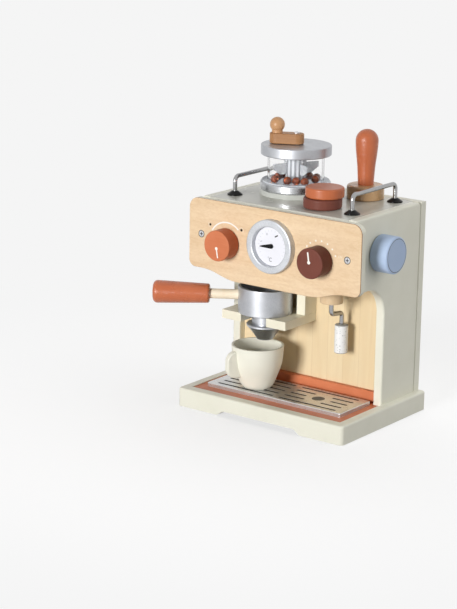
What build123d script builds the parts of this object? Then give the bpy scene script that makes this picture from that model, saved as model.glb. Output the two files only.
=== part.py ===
"""Toy coffee maker: a painted wooden play espresso machine. Millimetres.

Origin on the floor under the middle of the base board, +X to the user's right, -Y to the user, +Z up.
"""

import os
from math import cos, radians, sin, sqrt

from build123d import *

os.makedirs("parts", exist_ok=True)

# Clearances
snug = 0.02  # screws, pins and pegs in their own holes
inlay_gap = 0.15  # round an inlaid board
running = 0.06  # a shaft that turns in its bearing
rest_gap = 0.2  # under a loose piece at rest
turn_gap = 0.4  # beside a piece that turns

# Base board and drip tray
base_width = 240
base_depth = 182
base_height = 23
base_corner = 5
base_edge = 2.5
foot_width = 60
arch_ramp = 8
arch_round = 8
arch_height = 6
arch_depth = 24
bed_side_margin = 12
bed_front_margin = 13
bed_board = 2
bed_drop = 1
grille_width = 195
grille_board = 5
grille_setback = 16
grille_back_gap = 7
grille_corner = 2
grille_edge = 1
slot_width = 3.6
slot_margin = 7.2
slot_rows = 5
slot_inner = 4
slot_outer = 86
disc_spacing = 89
disc_radius = 7.75
disc_board = 1.2
disc_blank_radius = 17
upstand_board = 6
upstand_height = 14
upstand_edge = 1

# Carcass boards
body_width = 220
body_height = 256.5
side_board = 11
rear_board = 13
top_board = 11
floor_board = 9
wall_board = 6
leg_setback = 96
head_setback = 32
head_clearance = 169
head_corner = 35
wall_recess = 10
body_edge = 2.5
inner_edge = 1.5
seam_edge = 1.1
top_edge = 2
rear_corner = 4

# Facade
facade_width = 246
facade_board = 9
facade_side_clearance = 170.2
facade_middle_clearance = 160.7
shoulder_outer = 93
shoulder_inner = 62
shoulder_radius = 80
facade_top_corner = 12
facade_top_drop = 1.5
facade_low_corner = 9
facade_edge = 1.2

# Wood screws
screw_radius = 1.8
screw_head_radius = 4.5
screw_head_depth = 2.6
screw_end_gap = 1
cross_length = 4.6
cross_width = 1
cross_depth = 1.4
facade_screw_length = 30
facade_screw_height = 212
rear_screw_length = 32
rear_screw_inset = 36
base_screw_length = 42
base_screw_inset = 15

# Knobs and their screws
knob_spacing = 133.5
knob_height = 206
knob_left_radius = 18.5
knob_left_depth = 20
knob_right_radius = 18
knob_right_depth = 21
knob_side_radius = 22
knob_side_depth = 24
knob_side_drop = 44.8
knob_side_setback = 81
knob_edge = 1.4
knob_side_edge = 2.2
knob_screw_radius = 2.5
knob_screw_grip = 12
knob_screw_head_radius = 4.75
knob_screw_head_height = 3
washer_radius = 7
washer_board = 1.2

# Gauge
gauge_height = 213
gauge_radius = 32
gauge_bore = 23.5
gauge_depth = 8.5
gauge_edge = 1.5
dial_board = 2
needle_board = 1.2
needle_hub_radius = 2.8
needle_length = 15.5
needle_angle = 187
needle_tip_radius = 0.6
pin_radius = 1
pin_head_radius = 1.8
pin_head_height = 0.8
pin_grip = 6

# Bean mill
mill_x = -34
mill_setback = 115.3
mill_radius = 42.5
riser_height = 6
mill_base_height = 9.5
mill_seat_depth = 3.5
mill_edge = 1.2
chamber_radius = 34
chamber_wall = 1.8
chamber_floor = 1.5
chamber_flange_radius = 40.5
chamber_rise = 32.3
lid_height = 12
lid_seat_depth = 2.5
rotor_pin_radius = 4
rotor_pin_depth = 4
rotor_radius = 12.5
rotor_neck_radius = 5
blade_reach = 30
blade_root = 11
blade_board = 2
blade_low = 11
blade_step = 6.5
blade_high = 24
blade_tip_run = 9
blade_count = 4
blade_angle = 62
bead_radius = 5
bead_spots = ((26.2, 234), (21, 277), (19.5, 307), (25.5, 330), (24, 21), (26, 48))
bead_spots += ((23, 80), (26, 106), (22.5, 135), (25.5, 163), (22.6, 195))
arm_lift = 0.6
arm_board = 12.5
arm_width = 18
arm_reach = 23.6
arm_angle = 206
arm_edge = 1.4
arm_neck_grip = 8
crank_ball_radius = 9
crank_neck_radius = 6.5
crank_neck_height = 3.4
crank_peg_radius = 3
crank_peg_depth = 8
crank_screw_radius = 1.9
crank_screw_head_radius = 3.4
crank_screw_head_height = 1.5

# Cup rails
rail_spacing = 168
rail_front_setback = 61
rail_length = 91
rail_radius = 2.6
rail_rise = 22.2
rail_bend = 6.5
rail_grip = 8
rail_foot_radius = 9.2
rail_foot_rim = 1
rail_foot_height = 4.8
rail_foot_crown_radius = 3.8

# Tamper and pods, standing loose on the top
tamper_x = 45.5
tamper_setback = 147
tamper_radius = 22.4
tamper_base_height = 16.5
tamper_base_edge = 3
tamper_handle_height = 66.5
tamper_grip_low_radius = 9.4
tamper_grip_radius = 13.6
tamper_peg_radius = 4
tamper_peg_depth = 8
pod_x = 37.5
pod_setback = 69
pod_radius = 22.8
pod_height = 12.3
pod_edge = 2.2
pod_shift = 1.6

# Group: cheeks, fork and portafilter
group_x = -40
group_reach = 39  # forward of the back wall
fork_width = 94
fork_board = 10.5
fork_clearance = 107.4
fork_reach = 24.5
fork_slot_radius = 18.5
fork_edge = 1
cheek_board = 12.5
cheek_depth = 23.5
cheek_seam = 0.5
bowl_radius = 33
bowl_height = 32.6
bowl_wall = 3.2
bowl_floor = 5
bowl_edge = 1
spigot_radius = 6
spigot_depth = 4
neck_radius = 16
spout_drop = 3
spout_radius = 22.4
spout_rim = 3
spout_bevel = 4
spout_waist_radius = 18.5
spout_tip_radius = 10.2
spout_tip_edge = 1.5
spout_height = 20
spout_bore_radius = 3
spout_bore_depth = 9
handle_angle = 212
handle_lift = 20.1
rod_radius = 6
rod_length = 44
handle_length = 68.5
handle_near_radius = 11.7
handle_near_edge = 2.7
handle_far_radius = 14
handle_far_edge = 5.5
handle_start = 67.4

# Steam wand
wand_x = 56
wand_reach = 40
socket_radius = 13.7
socket_length = 23
socket_edge = 1
tube_radius = 2.7
tube_grip = 15
tube_drop = 14.4
tube_fall = 2.6
tube_offset = 22.6
tube_angle = 90
tube_bend = 5
wand_drop = 31
wand_radius = 8
wand_length = 35
wand_edge = 1.6
wand_grip = 8

# Cup
cup_x = -40
cup_ahead = 14  # of the spout
cup_foot_radius = 15.4
cup_foot_slope = (1, 0.55)
cup_waist_radius = 23.1
cup_waist_height = 11.8
cup_belly_radius = 29.6
cup_belly_height = 31
cup_rim_radius = 31.6
cup_rim_slope = (0.06, 1)
cup_height = 53
cup_wall = 2.6
cup_floor = 4
cup_ear_angle = 245
cup_ear_centre = 25.5
cup_ear_length = 34
cup_ear_drop = 33
cup_ear_corner = 12
cup_ear_height = 31.6
cup_ear_board = 8.5
cup_ear_edge = 2

# Places that follow from the sizes above
front = -base_depth / 2
back = base_depth / 2
leg_front = front + leg_setback
head_front = front + head_setback
facade_front = head_front - facade_board
rear_seam = back - rear_board
wall_front = leg_front + wall_recess
inner = body_width / 2 - side_board
board_middle = body_width / 2 - side_board / 2
bed_top = base_height - bed_drop
bed_front = front + bed_front_margin
bed_half_width = base_width / 2 - bed_side_margin
tray_top = bed_top + grille_board
grille_front = bed_front + grille_setback
grille_depth = wall_front - upstand_board - grille_back_gap - grille_front
slot_pitch = (grille_depth - 2 * slot_margin) / (slot_rows - 1)
grille_middle = grille_front + grille_depth / 2
foot_inner = base_width / 2 - foot_width
mill = (mill_x, front + mill_setback)
group = (group_x, wall_front - group_reach)
wand = (wand_x, wall_front - wand_reach)
low = (Align.CENTER, Align.CENTER, Align.MIN)
high = (Align.CENTER, Align.CENTER, Align.MAX)


def facing_front(x, y, z):
    """A plane on the machine's front, its normal towards the user."""
    return Plane(origin=(x, y, z), x_dir=(1, 0, 0), z_dir=(0, -1, 0))


def facing_back(x, y, z):
    """A plane on the machine's back, its normal away from the user."""
    return Plane(origin=(x, y, z), x_dir=(-1, 0, 0), z_dir=(0, 1, 0))


def facing_down(x, y, z):
    """A plane on an underside, its normal downwards."""
    return Plane(origin=(x, y, z), x_dir=(1, 0, 0), z_dir=(0, 0, -1))


def at_height(spot, z):
    """A level plane at a spot (x, y)."""
    return Plane(origin=(spot[0], spot[1], z))


def cut_screw_seats(seats, length):
    """Pilot holes with countersinks, from each seat plane into the wood behind it."""
    with Locations(*seats):
        Cylinder(screw_radius + snug, length, align=high, mode=Mode.SUBTRACT)
        with Locations((0, 0, -screw_head_depth / 2)):
            Cone(screw_radius + snug, screw_head_radius + snug, screw_head_depth, mode=Mode.SUBTRACT)


def cut_pilot_holes(seats, length):
    """Plain pilot holes for a screw whose head seats in another board."""
    with Locations(*seats):
        Cylinder(screw_radius + snug, length, align=high, mode=Mode.SUBTRACT)


def add_screws(seats, length):
    """Countersunk cross-head screws, flush with their seat planes."""
    with Locations(*seats):
        Cylinder(screw_radius, length, align=high)
        with Locations((0, 0, -screw_head_depth / 2)):
            Cone(screw_radius, screw_head_radius, screw_head_depth)
        Box(cross_length, cross_width, cross_depth, align=high, mode=Mode.SUBTRACT)
        Box(cross_width, cross_length, cross_depth, align=high, mode=Mode.SUBTRACT)


facade_seats = [
    facing_front(side * board_middle, facade_front, facade_screw_height) for side in (-1, 1)
]
rear_screw_heights = (
    base_height + rear_screw_inset,
    (base_height + body_height) / 2,
    body_height - rear_screw_inset,
)
rear_seats = [
    facing_back(side * board_middle, back, height) for side in (-1, 1) for height in rear_screw_heights
]
base_screw_rows = (leg_front + base_screw_inset, rear_seam - base_screw_inset)
base_seats = [facing_down(side * board_middle, row, 0) for side in (-1, 1) for row in base_screw_rows]
knob_seats = {
    "knob_left": facing_front(-knob_spacing / 2, facade_front, knob_height),
    "knob_right": facing_front(knob_spacing / 2, facade_front, knob_height),
    "knob_side": Plane(
        origin=(body_width / 2, front + knob_side_setback, body_height - knob_side_drop),
        x_dir=(0, 1, 0),
        z_dir=(1, 0, 0),
    ),
}
knob_sizes = {
    "knob_left": (knob_left_radius, knob_left_depth, knob_edge, facade_board),
    "knob_right": (knob_right_radius, knob_right_depth, knob_edge, facade_board),
    "knob_side": (knob_side_radius, knob_side_depth, knob_side_edge, side_board),
}
rail_front = front + rail_front_setback
rail_feet_spots = [
    (side * rail_spacing / 2, rail_front + along) for side in (-1, 1) for along in (0, rail_length)
]


# Base board: rounded slab, its front arched between two feet, with a shallow bed for the tray
def bed_outline(gap):
    """The bed's outline: wide in front of the legs, narrow between them."""
    depth = leg_front - bed_front
    with Locations((0, bed_front + depth / 2)):
        Rectangle(2 * (bed_half_width + gap), depth + 2 * gap)
    with Locations((0, (leg_front + wall_front) / 2)):
        Rectangle(2 * inner, wall_front - leg_front)


with BuildPart() as base_board:
    with BuildSketch():
        RectangleRounded(base_width, base_depth, base_corner)
    extrude(amount=base_height)
    fillet(base_board.faces().sort_by(Axis.Z)[-1].edges(), base_edge)
    with BuildSketch(Plane.XZ.offset(-front)):
        with BuildLine():
            Polyline(
                (-foot_inner, 0),
                (-foot_inner + arch_ramp, arch_height),
                (foot_inner - arch_ramp, arch_height),
                (foot_inner, 0),
                close=True,
            )
        make_face()
    extrude(amount=-arch_depth, mode=Mode.SUBTRACT)
    arch_edges = [edge for edge in base_board.edges().filter_by(Axis.Y) if edge.length < base_depth / 2]
    fillet(arch_edges, arch_round)
    with BuildSketch(Plane.XY.offset(base_height)):
        bed_outline(inlay_gap)
    extrude(amount=-bed_board - bed_drop, mode=Mode.SUBTRACT)
    cut_screw_seats(base_seats, base_screw_length)
base_board.part.label = "base_board"
export_step(base_board.part, "parts/base_board.step")

with BuildPart() as drip_bed:
    with BuildSketch(Plane.XY.offset(bed_top - bed_board)):
        bed_outline(0)
    extrude(amount=bed_board)
drip_bed.part.label = "drip_bed"
export_step(drip_bed.part, "parts/drip_bed.step")

with BuildPart() as tray_upstand:
    with BuildSketch(Plane.XY.offset(bed_top)):
        with Locations((0, wall_front - upstand_board / 2)):
            Rectangle(2 * (inner - inlay_gap), upstand_board)
    extrude(amount=upstand_height)
    fillet(tray_upstand.edges().filter_by(Axis.X).group_by(Axis.Z)[-1].sort_by(Axis.Y)[0], upstand_edge)
tray_upstand.part.label = "tray_upstand"
export_step(tray_upstand.part, "parts/tray_upstand.step")

# Drip grille: two fields of slots that stop short of the round cup spots
disc_spots = [(side * disc_spacing / 2, grille_middle) for side in (-1, 1)]
with BuildPart() as drip_grille:
    with BuildSketch(Plane.XY.offset(bed_top)):
        with Locations((0, grille_middle)):
            RectangleRounded(grille_width, grille_depth, grille_corner)
    extrude(amount=grille_board)
    fillet(drip_grille.faces().sort_by(Axis.Z)[-1].edges(), grille_edge)
    with BuildSketch(Plane.XY.offset(bed_top)):
        for row in range(slot_rows):
            offset_y = (row - (slot_rows - 1) / 2) * slot_pitch
            runs = [(slot_inner, slot_outer)]
            if abs(offset_y) < disc_blank_radius:
                half_blank = sqrt(disc_blank_radius**2 - offset_y**2)
                runs = [
                    (slot_inner, disc_spacing / 2 - half_blank),
                    (disc_spacing / 2 + half_blank, slot_outer),
                ]
            for start, end in runs:
                for side in (-1, 1):
                    with Locations((side * (start + end) / 2, grille_middle + offset_y)):
                        SlotOverall(end - start, slot_width)
    extrude(amount=grille_board, mode=Mode.SUBTRACT)
    with BuildSketch(Plane.XY.offset(tray_top)):
        with Locations(*disc_spots):
            Circle(disc_radius + inlay_gap)
    extrude(amount=-disc_board, mode=Mode.SUBTRACT)
drip_grille.part.label = "drip_grille"
export_step(drip_grille.part, "parts/drip_grille.step")

with BuildPart() as grille_discs:
    with BuildSketch(Plane.XY.offset(tray_top - disc_board)):
        with Locations(*disc_spots):
            Circle(disc_radius)
    extrude(amount=disc_board)
grille_discs.part.label = "grille_discs"
export_step(grille_discs.part, "parts/grille_discs.step")

# Side panels: a leg with the head reaching forward over the tray
for name, side in (("side_panel_left", -1), ("side_panel_right", 1)):
    with BuildPart() as side_panel:
        with BuildSketch(Plane.YZ.offset(min(side * inner, side * body_width / 2))) as outline:
            with BuildLine():
                Polyline(
                    (leg_front, base_height),
                    (rear_seam, base_height),
                    (rear_seam, body_height),
                    (head_front, body_height),
                    (head_front, head_clearance),
                    (leg_front, head_clearance),
                    close=True,
                )
            make_face()
            throat = outline.vertices().sort_by_distance((leg_front, head_clearance, 0))[0]
            fillet(throat, head_corner)
            nose = outline.vertices().sort_by_distance((head_front, body_height, 0))[0]
            fillet(nose, top_edge)
            heel = outline.vertices().sort_by_distance((rear_seam, body_height, 0))[0]
            fillet(heel, rear_corner)
        extrude(amount=side_board)
        outer_face = side_panel.faces().filter_by(Plane.YZ).sort_by(Axis.X)[0 if side < 0 else -1]
        open_edges = [
            edge
            for edge in outer_face.edges()
            if head_front + 1 < edge.center().Y < rear_seam - 1 and edge.center().Z > base_height + 1
        ]
        fillet(open_edges, body_edge)
        inner_face = side_panel.faces().filter_by(Plane.YZ).sort_by(Axis.X)[-1 if side < 0 else 0]
        throat_edges = [
            edge
            for edge in inner_face.edges()
            if head_front + 1 < edge.center().Y < leg_front + 1
            and base_height + 1 < edge.center().Z < head_clearance + 1
        ]
        fillet(throat_edges, inner_edge)
        cut_pilot_holes([seat for seat in facade_seats if seat.origin.X * side > 0], facade_screw_length)
        cut_pilot_holes([seat for seat in rear_seats if seat.origin.X * side > 0], rear_screw_length)
        cut_pilot_holes([seat for seat in base_seats if seat.origin.X * side > 0], base_screw_length)
        if side > 0:
            with Locations(knob_seats["knob_side"]):
                Cylinder(knob_screw_radius + running, 2 * side_board, mode=Mode.SUBTRACT)
    side_panel.part.label = name
    export_step(side_panel.part, f"parts/{name}.step")

with BuildPart() as rear_panel:
    with BuildSketch(Plane.XY.offset(base_height)):
        with Locations((0, back - rear_board / 2)):
            Rectangle(body_width, rear_board)
    extrude(amount=body_height - base_height)
    rear_face = rear_panel.faces().sort_by(Axis.Y)[-1]
    fillet([edge for edge in rear_face.edges() if edge.center().Z > base_height + 1], body_edge)
    seam_face = rear_panel.faces().sort_by(Axis.Y)[0]
    chamfer([edge for edge in seam_face.edges() if edge.center().Z > base_height + 1], seam_edge)
    cut_screw_seats(rear_seats, rear_screw_length)
rear_panel.part.label = "rear_panel"
export_step(rear_panel.part, "parts/rear_panel.step")

with BuildPart() as top_panel:
    with BuildSketch(Plane.XY.offset(body_height)):
        with Locations((0, (head_front + rear_seam) / 2)):
            Rectangle(2 * inner, rear_seam - head_front)
    extrude(amount=-top_board)
    fillet(top_panel.edges().filter_by(Axis.X).group_by(Axis.Y)[0].sort_by(Axis.Z)[-1], top_edge)
    with BuildSketch(Plane.XY.offset(body_height)):
        with Locations(*rail_feet_spots):
            Circle(rail_radius + snug)
    extrude(amount=-rail_grip, mode=Mode.SUBTRACT)
top_panel.part.label = "top_panel"
export_step(top_panel.part, "parts/top_panel.step")

with BuildPart() as back_wall:
    with BuildSketch(Plane.XY.offset(base_height)):
        with Locations((0, wall_front + wall_board / 2)):
            Rectangle(2 * inner, wall_board)
    extrude(amount=head_clearance - base_height)
back_wall.part.label = "back_wall"
export_step(back_wall.part, "parts/back_wall.step")

with BuildPart() as head_floor:
    with BuildSketch(Plane.XY.offset(head_clearance)):
        with Locations((0, (head_front + rear_seam) / 2)):
            Rectangle(2 * inner, rear_seam - head_front)
    extrude(amount=floor_board)
head_floor.part.label = "head_floor"
export_step(head_floor.part, "parts/head_floor.step")

# Facade: rounded plywood board whose lower edge drops in the middle
with BuildPart() as facade:
    with BuildSketch(Plane.XZ.offset(-head_front)) as outline:
        half = facade_width / 2
        facade_top = body_height - facade_top_drop
        with BuildLine():
            Polyline(
                (-half, facade_top),
                (half, facade_top),
                (half, facade_side_clearance),
                (shoulder_outer, facade_side_clearance),
                (shoulder_inner, facade_middle_clearance),
                (-shoulder_inner, facade_middle_clearance),
                (-shoulder_outer, facade_side_clearance),
                (-half, facade_side_clearance),
                close=True,
            )
        make_face()
        fillet(outline.vertices().group_by(Axis.Y)[-1], facade_top_corner)
        low_corners = outline.vertices().group_by(Axis.Y)[1]
        fillet([low_corners.sort_by(Axis.X)[0], low_corners.sort_by(Axis.X)[-1]], facade_low_corner)
        shoulders = [
            corner
            for corner in outline.vertices()
            if min(abs(abs(corner.X) - shoulder_outer), abs(abs(corner.X) - shoulder_inner)) < 0.01
            and corner.Y < facade_side_clearance + 1
        ]
        fillet(shoulders, shoulder_radius)
    extrude(amount=facade_board)
    fillet(facade.faces().sort_by(Axis.Y)[0].edges(), facade_edge)
    cut_screw_seats(facade_seats, facade_screw_length)
    for name in ("knob_left", "knob_right"):
        with Locations(knob_seats[name]):
            Cylinder(knob_screw_radius + running, 2 * facade_board, mode=Mode.SUBTRACT)
    with Locations(facing_front(0, facade_front, gauge_height)):
        Cylinder(pin_radius + snug, pin_grip, align=high, mode=Mode.SUBTRACT)
facade.part.label = "facade"
export_step(facade.part, "parts/facade.step")

# Screws that hold the boards
for name, seats, length in (
    ("facade_screws", facade_seats, facade_screw_length),
    ("rear_screws", rear_seats, rear_screw_length),
    ("base_screws", base_seats, base_screw_length),
):
    with BuildPart() as screws:
        add_screws(seats, length - screw_end_gap)
    screws.part.label = name
    export_step(screws.part, f"parts/{name}.step")

# Knobs: each turns on a screw that comes through its board from inside
for name, seat in knob_seats.items():
    radius, depth, edge, board = knob_sizes[name]
    with BuildPart() as knob:
        with Locations(seat):
            with Locations((0, 0, turn_gap)):
                Cylinder(radius, depth - turn_gap, align=low)
                Cylinder(
                    knob_screw_radius + snug, knob_screw_grip + snug, align=low, mode=Mode.SUBTRACT
                )
        rims = knob.edges().filter_by(GeomType.CIRCLE)
        rims = [rim for rim in rims if abs(rim.radius - radius) < 0.01]
        fillet(rims, edge)
    knob.part.label = name
    export_step(knob.part, f"parts/{name}.step")

    head_gap = board + washer_board + turn_gap
    with BuildPart() as knob_screw:
        with Locations(seat):
            with Locations((0, 0, turn_gap + knob_screw_grip)):
                Cylinder(knob_screw_radius, turn_gap + knob_screw_grip + head_gap, align=high)
            with Locations((0, 0, -head_gap)):
                Cylinder(knob_screw_head_radius, knob_screw_head_height, align=high)
    knob_screw.part.label = f"{name}_screw"
    export_step(knob_screw.part, f"parts/{name}_screw.step")

with BuildPart() as knob_washers:
    for name, seat in knob_seats.items():
        board = knob_sizes[name][3]
        with Locations(seat):
            with Locations((0, 0, -board)):
                Cylinder(washer_radius, washer_board, align=high)
                Cylinder(knob_screw_radius + running, washer_board, align=high, mode=Mode.SUBTRACT)
knob_washers.part.label = "knob_washers"
export_step(knob_washers.part, "parts/knob_washers.step")

# Gauge: a deep ring, a dial at its foot and a needle on a pin
gauge_seat = facing_front(0, facade_front, gauge_height)
with BuildPart() as gauge_ring:
    with BuildSketch(gauge_seat):
        Circle(gauge_radius)
        Circle(gauge_bore, mode=Mode.SUBTRACT)
    extrude(amount=gauge_depth)
    rims = gauge_ring.faces().sort_by(Axis.Y)[0].edges()
    fillet(rims, gauge_edge)
gauge_ring.part.label = "gauge_ring"
export_step(gauge_ring.part, "parts/gauge_ring.step")

with BuildPart() as gauge_dial:
    with BuildSketch(gauge_seat):
        Circle(gauge_bore - inlay_gap)
        Circle(pin_radius + snug, mode=Mode.SUBTRACT)
    extrude(amount=dial_board)
gauge_dial.part.label = "gauge_dial"
export_step(gauge_dial.part, "parts/gauge_dial.step")

needle_turn = radians(needle_angle)
needle_plane = Plane(
    origin=(0, facade_front - dial_board - turn_gap, gauge_height),
    x_dir=(cos(needle_turn), 0, sin(needle_turn)),
    z_dir=(0, -1, 0),
)
with BuildPart() as gauge_needle:
    with BuildSketch(needle_plane):
        with BuildLine():
            hub = CenterArc((0, 0), needle_hub_radius, 82, 196)
            tip = CenterArc((needle_length, 0), needle_tip_radius, -90, 180)
            Line(hub @ 0, tip @ 1)
            Line(hub @ 1, tip @ 0)
        make_face()
        Circle(pin_radius + running, mode=Mode.SUBTRACT)
    extrude(amount=needle_board)
gauge_needle.part.label = "gauge_needle"
export_step(gauge_needle.part, "parts/gauge_needle.step")

pin_head_lift = dial_board + 2 * turn_gap + needle_board
with BuildPart() as gauge_pin:
    with Locations(gauge_seat):
        with Locations((0, 0, -pin_grip + snug)):
            Cylinder(pin_radius, pin_grip - snug + pin_head_lift, align=low)
        with Locations((0, 0, pin_head_lift)):
            Cylinder(pin_head_radius, pin_head_height, align=low)
    fillet(gauge_pin.edges().sort_by(Axis.Y)[0], pin_head_height / 2)
gauge_pin.part.label = "gauge_pin"
export_step(gauge_pin.part, "parts/gauge_pin.step")

# Bean mill, from the top panel upwards
riser_top = body_height + riser_height
mill_base_top = riser_top + mill_base_height
seat_floor = mill_base_top - mill_seat_depth
chamber_bottom = seat_floor
bean_floor = chamber_bottom + chamber_floor
lid_bottom = mill_base_top + chamber_rise
lid_top = lid_bottom + lid_height
arm_bottom = lid_top + arm_lift
arm_top = arm_bottom + arm_board
neck_top = arm_bottom + arm_neck_grip

with BuildPart() as mill_riser:
    with Locations(at_height(mill, body_height)):
        Cylinder(mill_radius, riser_height, align=low)
    fillet(mill_riser.edges().group_by(Axis.Z)[-1], mill_edge)
mill_riser.part.label = "mill_riser"
export_step(mill_riser.part, "parts/mill_riser.step")

with BuildPart() as mill_base:
    with Locations(at_height(mill, riser_top)):
        Cylinder(mill_radius, mill_base_height, align=low)
    fillet(mill_base.edges(), mill_edge)
    with Locations(at_height(mill, seat_floor)):
        Cylinder(chamber_radius + inlay_gap, mill_seat_depth, align=low, mode=Mode.SUBTRACT)
        Cylinder(rotor_pin_radius + running, rotor_pin_depth, align=high, mode=Mode.SUBTRACT)
mill_base.part.label = "mill_base"
export_step(mill_base.part, "parts/mill_base.step")

with BuildPart() as mill_chamber:
    tube_top = lid_bottom + lid_seat_depth - rest_gap
    with Locations(at_height(mill, chamber_bottom)):
        Cylinder(chamber_radius, tube_top - chamber_bottom, align=low)
    with Locations(at_height(mill, mill_base_top)):
        Cylinder(chamber_flange_radius, chamber_floor, align=low)
    with Locations(at_height(mill, bean_floor)):
        Cylinder(chamber_radius - chamber_wall, tube_top, align=low, mode=Mode.SUBTRACT)
    with Locations(at_height(mill, chamber_bottom)):
        Cylinder(rotor_pin_radius + turn_gap, chamber_floor, align=low, mode=Mode.SUBTRACT)
mill_chamber.part.label = "mill_chamber"
export_step(mill_chamber.part, "parts/mill_chamber.step")

with BuildPart() as mill_lid:
    with Locations(at_height(mill, lid_bottom)):
        Cylinder(mill_radius, lid_height, align=low)
    fillet(mill_lid.edges(), mill_edge)
    with Locations(at_height(mill, lid_bottom)):
        Cylinder(chamber_radius + inlay_gap, lid_seat_depth, align=low, mode=Mode.SUBTRACT)
        Cylinder(rotor_neck_radius + running, lid_height, align=low, mode=Mode.SUBTRACT)
mill_lid.part.label = "mill_lid"
export_step(mill_lid.part, "parts/mill_lid.step")

hub_bottom = bean_floor + turn_gap
hub_top = lid_bottom + lid_seat_depth - turn_gap
with BuildPart() as mill_rotor:
    with Locations(at_height(mill, chamber_bottom - rotor_pin_depth + turn_gap)):
        Cylinder(rotor_pin_radius, rotor_pin_depth + chamber_floor, align=low)
    with Locations(at_height(mill, hub_bottom)):
        Cylinder(rotor_radius, hub_top - hub_bottom, align=low)
    with Locations(at_height(mill, hub_top)):
        Cylinder(rotor_neck_radius, neck_top - hub_top, align=low)
    for turn in range(blade_count):
        heading = radians(blade_angle + turn * 360 / blade_count)
        blade_plane = Plane(
            origin=(mill[0], mill[1], bean_floor),
            x_dir=(cos(heading), sin(heading), 0),
            z_dir=(sin(heading), -cos(heading), 0),
        )
        with BuildSketch(blade_plane):
            with BuildLine():
                Polyline(
                    (blade_root, blade_low),
                    (blade_reach - blade_tip_run, blade_low),
                    (blade_reach, blade_low + blade_step),
                    (blade_reach, blade_high),
                    (blade_root, blade_high),
                    close=True,
                )
            make_face()
        extrude(amount=blade_board / 2, both=True)
    with Locations(at_height(mill, neck_top)):
        Cylinder(crank_screw_radius + snug, arm_neck_grip, align=high, mode=Mode.SUBTRACT)
mill_rotor.part.label = "mill_rotor"
export_step(mill_rotor.part, "parts/mill_rotor.step")

with BuildPart() as mill_beads:
    for distance, heading in bead_spots:
        spot = (
            mill[0] + distance * cos(radians(heading)),
            mill[1] + distance * sin(radians(heading)),
            bean_floor + bead_radius + rest_gap / 2,
        )
        with Locations(spot):
            Sphere(bead_radius)
mill_beads.part.label = "mill_beads"
export_step(mill_beads.part, "parts/mill_beads.step")

arm_turn = radians(arm_angle)
ball_spot = (mill[0] + arm_reach * cos(arm_turn), mill[1] + arm_reach * sin(arm_turn))
arm_middle = ((mill[0] + ball_spot[0]) / 2, (mill[1] + ball_spot[1]) / 2)
with BuildPart() as crank_arm:
    with BuildSketch(Plane.XY.offset(arm_bottom)):
        with Locations(Location((arm_middle[0], arm_middle[1], 0), (0, 0, arm_angle))):
            SlotCenterToCenter(arm_reach, arm_width)
    extrude(amount=arm_board)
    fillet(crank_arm.edges().group_by(Axis.Z)[0] + crank_arm.edges().group_by(Axis.Z)[-1], arm_edge)
    with Locations(at_height(mill, arm_bottom)):
        Cylinder(rotor_neck_radius + snug, arm_neck_grip + snug, align=low, mode=Mode.SUBTRACT)
        Cylinder(crank_screw_radius + snug, arm_board, align=low, mode=Mode.SUBTRACT)
    with Locations(at_height(ball_spot, arm_top)):
        Cylinder(crank_peg_radius + snug, crank_peg_depth + snug, align=high, mode=Mode.SUBTRACT)
crank_arm.part.label = "crank_arm"
export_step(crank_arm.part, "parts/crank_arm.step")

ball_lift = crank_neck_height + sqrt(crank_ball_radius**2 - crank_neck_radius**2)
with BuildPart() as crank_knob:
    with Locations(at_height(ball_spot, arm_top)):
        Cylinder(crank_neck_radius, ball_lift, align=low)
        Cylinder(crank_peg_radius, crank_peg_depth, align=high)
        with Locations((0, 0, ball_lift)):
            Sphere(crank_ball_radius)
crank_knob.part.label = "crank_knob"
export_step(crank_knob.part, "parts/crank_knob.step")

with BuildPart() as crank_screw:
    with Locations(at_height(mill, arm_top)):
        Cylinder(crank_screw_head_radius, crank_screw_head_height, align=low)
        Cylinder(crank_screw_radius, arm_board - screw_end_gap, align=high)
    fillet(crank_screw.edges().sort_by(Axis.Z)[-1], crank_screw_head_height / 2)
    with Locations(at_height(mill, arm_top + crank_screw_head_height)):
        Box(cross_length, cross_width, cross_depth, align=high, mode=Mode.SUBTRACT)
        Box(cross_width, cross_length, cross_depth, align=high, mode=Mode.SUBTRACT)
crank_screw.part.label = "crank_screw"
export_step(crank_screw.part, "parts/crank_screw.step")

# Cup rails: bent rod in conical feet
for name, side in (("cup_rail_left", -1), ("cup_rail_right", 1)):
    rail_x = side * rail_spacing / 2
    rail_low = body_height - rail_grip + snug
    rail_high = body_height + rail_rise
    with BuildPart() as cup_rail:
        with BuildLine() as route:
            FilletPolyline(
                (rail_x, rail_front, rail_low),
                (rail_x, rail_front, rail_high),
                (rail_x, rail_front + rail_length, rail_high),
                (rail_x, rail_front + rail_length, rail_low),
                radius=rail_bend,
            )
        with BuildSketch(Plane(origin=route.line @ 0, z_dir=route.line % 0)):
            Circle(rail_radius)
        sweep()
    cup_rail.part.label = name
    export_step(cup_rail.part, f"parts/{name}.step")

with BuildPart() as rail_feet:
    with Locations(*[at_height(spot, body_height) for spot in rail_feet_spots]):
        Cylinder(rail_foot_radius, rail_foot_rim, align=low)
        with Locations((0, 0, rail_foot_rim)):
            Cone(rail_foot_radius, rail_foot_crown_radius, rail_foot_height - rail_foot_rim, align=low)
        Cylinder(rail_radius + snug, rail_foot_height, align=low, mode=Mode.SUBTRACT)
rail_feet.part.label = "rail_feet"
export_step(rail_feet.part, "parts/rail_feet.step")

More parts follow.
